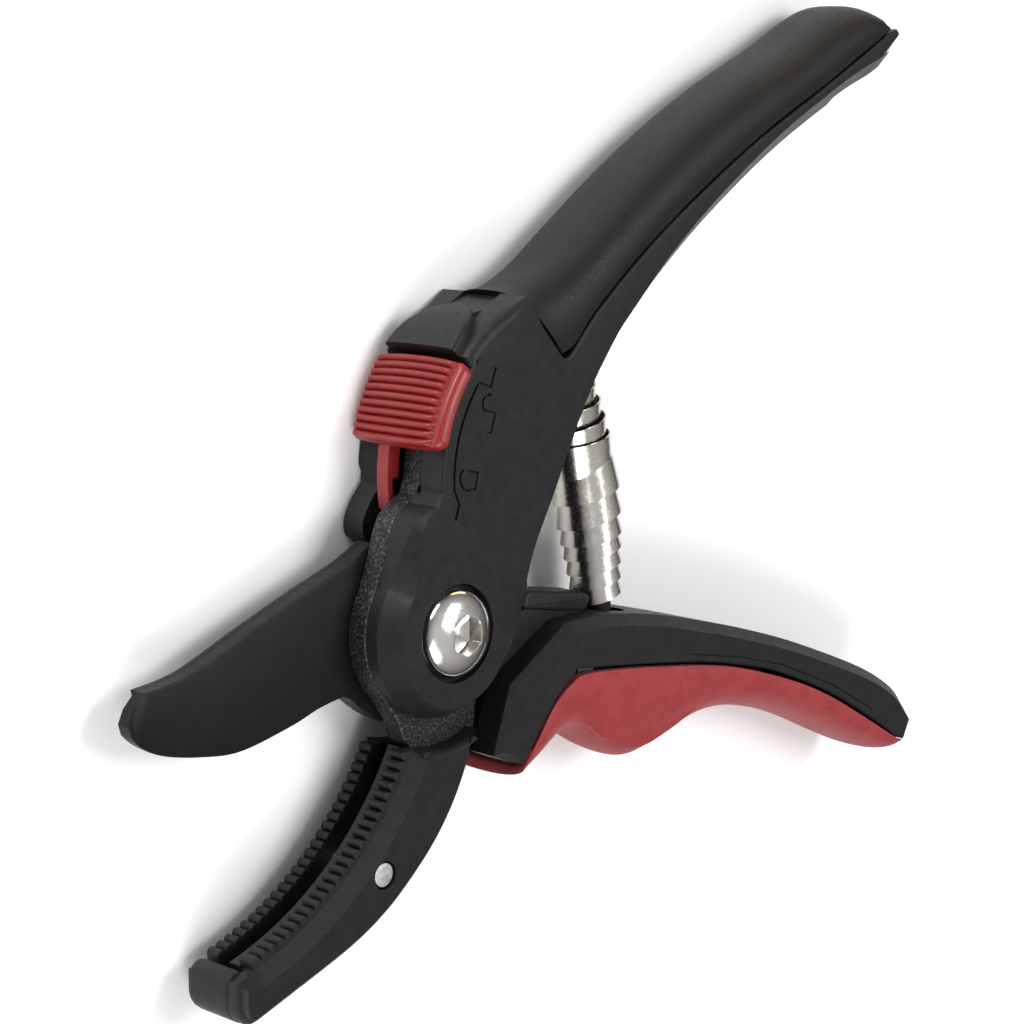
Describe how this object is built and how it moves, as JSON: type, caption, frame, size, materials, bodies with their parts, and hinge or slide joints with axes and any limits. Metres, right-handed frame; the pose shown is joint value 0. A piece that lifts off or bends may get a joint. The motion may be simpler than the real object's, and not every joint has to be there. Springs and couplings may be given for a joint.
{
  "type": "bypass pruner",
  "caption": "Hand-held bypass pruner with a pivoting cutting blade, a toothed channel jaw, a volute return spring and a sliding lock.",
  "frame": {"origin": "on the pivot axis, in the flat outer face of the far cheek that the tool lies on", "axes": "+Z along the pivot axis, out of the bolt head; +X towards the end of the upper handle; +Y towards the blade's side"},
  "size_m": [0.2175, 0.1558, 0.0217],
  "materials": {
    "handle_black": "fine textured nylon",
    "grip_black": "soft leather-grain grip",
    "sintered_steel": "dark speckled as-cast",
    "steel_pin": "ground",
    "bright_steel": "polished",
    "bronze": "plain turned",
    "grip_red": "soft matt grip",
    "coated_blade": "low-friction black coating, satin",
    "bumper_rubber": "smooth",
    "spring_steel": "nickel-plated, bright",
    "slider_red": "satin moulded"
  },
  "bodies": {
    "fixed_lever": {"upper_handle_body": "handle_black", "upper_handle_grip": "grip_black", "core_plate": "sintered_steel", "plate_pins": "steel_pin", "jaw_cover_near": "handle_black", "jaw_cover_far": "handle_black", "jaw_rivet": "bright_steel", "pivot_bolt": "bright_steel", "bolt_washer": "steel_pin", "pivot_sleeve": "steel_pin", "thrust_washer": "bronze", "pivot_nut": "bright_steel", "upper_spring_seat": "handle_black", "detent_spring": "steel_pin", "volute_spring": "spring_steel"},
    "moving_lever": {"lower_handle_body": "handle_black", "lower_handle_grip": "grip_red", "cutting_blade": "coated_blade", "blade_pins": "steel_pin", "closing_bumper": "bumper_rubber", "lower_spring_seat": "handle_black"},
    "lock": {"lock_slider": "slider_red"}
  },
  "joints": [
    {"name": "lever_pivot", "type": "hinge", "parent": "fixed_lever", "child": "moving_lever", "pos_m": [0, 0, 0], "axis": [0, 0, 1], "range_deg": [0, 42], "stiffness_Nm_per_rad": 0.6, "springref_deg": -34.38, "deforming": ["volute_spring"]},
    {"name": "lock_slide", "type": "hinge", "parent": "fixed_lever", "child": "lock", "pos_m": [0.0334, 0.0007, 0], "axis": [0, 0, 1], "range_deg": [0, 14]}
  ]
}
